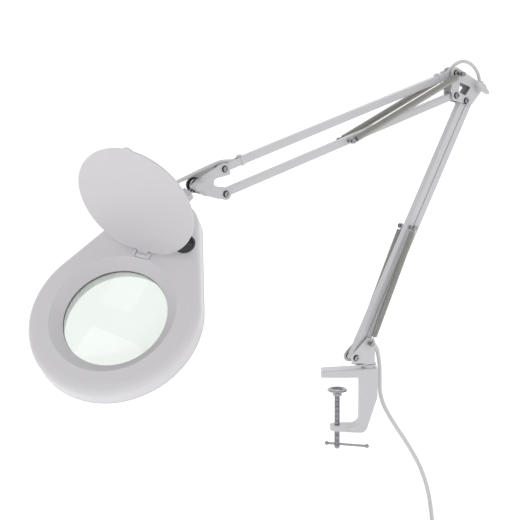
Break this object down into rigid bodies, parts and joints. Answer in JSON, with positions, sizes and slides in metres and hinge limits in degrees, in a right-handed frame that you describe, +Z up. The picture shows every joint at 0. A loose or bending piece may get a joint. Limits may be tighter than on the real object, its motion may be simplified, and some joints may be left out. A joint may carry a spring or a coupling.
{
  "type": "clamp-on magnifying lamp",
  "caption": "Clamp-on magnifying lamp: spring-balanced double-bar arm with elbow, tilting neck, teardrop head with round lens, ring tube and hinged dust cover.",
  "frame": {"origin": "underside of the clamp's top jaw, on the clamp screw's axis", "axes": "+Z up along the clamp screw, +X from the screw towards the clamp's spine, +Y to the left of +X"},
  "size_m": [0.5953, 0.461, 0.6733],
  "materials": {
    "white_paint": "semi-gloss powder coat",
    "chrome": "bright plated",
    "spring_steel": "bright plated wire",
    "black_rubber": "matte",
    "white_plastic": "satin moulded",
    "grey_plastic": "fine texture",
    "white_pvc": "soft sheen",
    "black_plastic": "gloss",
    "brass": "plain",
    "glass": "polished",
    "tube_white": "coated glass tube",
    "diffuser": "translucent opal",
    "steel": "zinc plated"
  },
  "bodies": {
    "clamp": {"clamp_frame": "white_paint", "swivel_bush": "grey_plastic"},
    "pad": {"clamp_pad": "chrome"},
    "screw": {"clamp_screw": "chrome"},
    "tommy": {"tommy_bar": "chrome"},
    "base": {"base_bracket": "white_paint", "swivel_post": "steel", "base_bolt": "chrome", "base_spring_pin": "chrome", "base_washers": "black_rubber", "base_grommet": "white_pvc", "mains_lead": "white_pvc", "lead_coil": "white_pvc", "plug_body": "white_pvc", "plug_pins": "brass"},
    "lower_front": {"lower_front_bar": "white_paint", "lower_spring_stud": "chrome", "lower_spring_near": "spring_steel", "lower_spring_far": "spring_steel"},
    "lower_rear": {"lower_rear_bar": "white_paint"},
    "elbow": {"elbow_bracket": "white_paint", "elbow_bolts": "chrome", "elbow_studs": "chrome", "elbow_washers": "black_rubber", "elbow_grommet": "white_pvc", "elbow_lead": "white_pvc"},
    "elbow_wing": {"elbow_knob": "grey_plastic"},
    "upper_lower": {"upper_lower_bar": "white_paint", "upper_spring_stud": "chrome", "upper_spring_near": "spring_steel", "upper_spring_far": "spring_steel"},
    "upper_top": {"upper_top_bar": "white_paint", "cable_clips": "white_pvc"},
    "head_yoke": {"head_bracket": "white_paint", "head_bolts": "chrome", "head_washers": "black_rubber", "tilt_bolt": "chrome", "head_lead": "white_pvc"},
    "tilt_wheel": {"tilt_knob": "grey_plastic"},
    "stem": {"eye_rod": "chrome"},
    "neck": {"neck_block": "grey_plastic"},
    "head": {"upper_shell": "white_plastic", "lower_shell": "white_plastic", "diffuser_ring": "diffuser", "lens": "glass", "lens_retainer": "white_plastic", "ring_tube": "tube_white", "tube_clips": "steel", "lamp_cap": "white_pvc", "ballast": "steel", "terminal_block": "white_pvc", "switch_body": "black_plastic", "shell_screws": "steel", "neck_pin": "steel", "head_grommet": "white_pvc", "hinge_block": "white_plastic", "hinge_pin": "steel"},
    "rocker": {"switch_rocker": "black_plastic"},
    "cover": {"lens_cover": "white_plastic"}
  },
  "joints": [
    {"name": "pad_travel", "type": "slide", "parent": "clamp", "child": "pad", "axis": [0, 0, 1], "range_m": [-0.04167, 0.01562]},
    {"name": "screw_turn", "type": "hinge", "parent": "pad", "child": "screw", "pos_m": [0, 0, -0.06], "axis": [0, 0, 1], "range_deg": [-12005, 4505]},
    {"name": "tommy_slide", "type": "slide", "parent": "screw", "child": "tommy", "axis": [0.9703, -0.2419, 0], "range_m": [-0.0355, 0.0075]},
    {"name": "base_swivel", "type": "hinge", "parent": "clamp", "child": "base", "pos_m": [0.044, 0, 0.0175], "axis": [0, 0, 1], "range_deg": [-90, 60]},
    {"name": "lower_arm_tilt", "type": "hinge", "parent": "base", "child": "lower_front", "pos_m": [0.01954, -0.0165, 0.0315], "axis": [0.5592, -0.829, 0], "range_deg": [0, 70], "deforming": ["lower_spring_near", "lower_spring_far"]},
    {"name": "lower_rear_follow", "type": "hinge", "parent": "base", "child": "lower_rear", "pos_m": [0.0382, -0.00391, 0.0495], "axis": [0.5592, -0.829, 0], "range_deg": [0, 70]},
    {"name": "elbow_follow", "type": "hinge", "parent": "lower_front", "child": "elbow", "pos_m": [0.18031, 0.09194, 0.38135], "axis": [0.5592, -0.829, 0], "range_deg": [-70, 0]},
    {"name": "elbow_knob_turn", "type": "hinge", "parent": "elbow", "child": "elbow_wing", "pos_m": [0.19897, 0.10453, 0.39935], "axis": [0.5592, -0.829, 0], "range_deg": [-180, 180]},
    {"name": "upper_arm_tilt", "type": "hinge", "parent": "elbow", "child": "upper_lower", "pos_m": [0.16498, 0.0816, 0.38895], "axis": [-0.5592, 0.829, 0], "range_deg": [-30, 45], "deforming": ["upper_spring_near", "upper_spring_far", "elbow_lead"]},
    {"name": "upper_top_follow", "type": "hinge", "parent": "elbow", "child": "upper_top", "pos_m": [0.16382, 0.08082, 0.42045], "axis": [-0.5592, 0.829, 0], "range_deg": [-30, 45]},
    {"name": "head_yoke_follow", "type": "hinge", "parent": "upper_lower", "child": "head_yoke", "pos_m": [-0.15215, -0.1323, 0.272], "axis": [-0.5592, 0.829, 0], "range_deg": [-45, 30]},
    {"name": "tilt_knob_turn", "type": "hinge", "parent": "head_yoke", "child": "tilt_wheel", "pos_m": [-0.18365, -0.15355, 0.28455], "axis": [0.5592, -0.829, 0], "range_deg": [-180, 180]},
    {"name": "head_tilt", "type": "hinge", "parent": "head_yoke", "child": "stem", "pos_m": [-0.18365, -0.15355, 0.28455], "axis": [0.5592, -0.829, 0], "range_deg": [-55, 50], "deforming": ["head_lead"]},
    {"name": "head_swivel", "type": "hinge", "parent": "stem", "child": "neck", "pos_m": [-0.18365, -0.15355, 0.28455], "axis": [0.6379, 0.4302, 0.6388], "range_deg": [-75, 45], "deforming": ["head_lead"]},
    {"name": "head_turn", "type": "hinge", "parent": "neck", "child": "head", "pos_m": [-0.21025, -0.17149, 0.25791], "axis": [-0.1541, -0.7413, 0.6532], "range_deg": [-43, 7], "deforming": ["head_lead"]},
    {"name": "cover_hinge", "type": "hinge", "parent": "head", "child": "cover", "pos_m": [-0.24379, -0.23039, 0.20689], "axis": [-0.9148, 0.3569, 0.1893], "range_deg": [-107.4, 2]},
    {"name": "switch_rock", "type": "hinge", "parent": "head", "child": "rocker", "pos_m": [-0.19153, -0.22931, 0.21968], "axis": [-0.9148, 0.3569, 0.1893], "range_deg": [0, 12]}
  ],
  "couplings": [
    {"joint": "screw_turn", "follows": "pad_travel", "rad_per_m": 5026.5},
    {"joint": "lower_rear_follow", "follows": "lower_arm_tilt", "ratio": 1},
    {"joint": "elbow_follow", "follows": "lower_arm_tilt", "ratio": -1},
    {"joint": "upper_top_follow", "follows": "upper_arm_tilt", "ratio": 1},
    {"joint": "head_yoke_follow", "follows": "upper_arm_tilt", "ratio": -1}
  ]
}
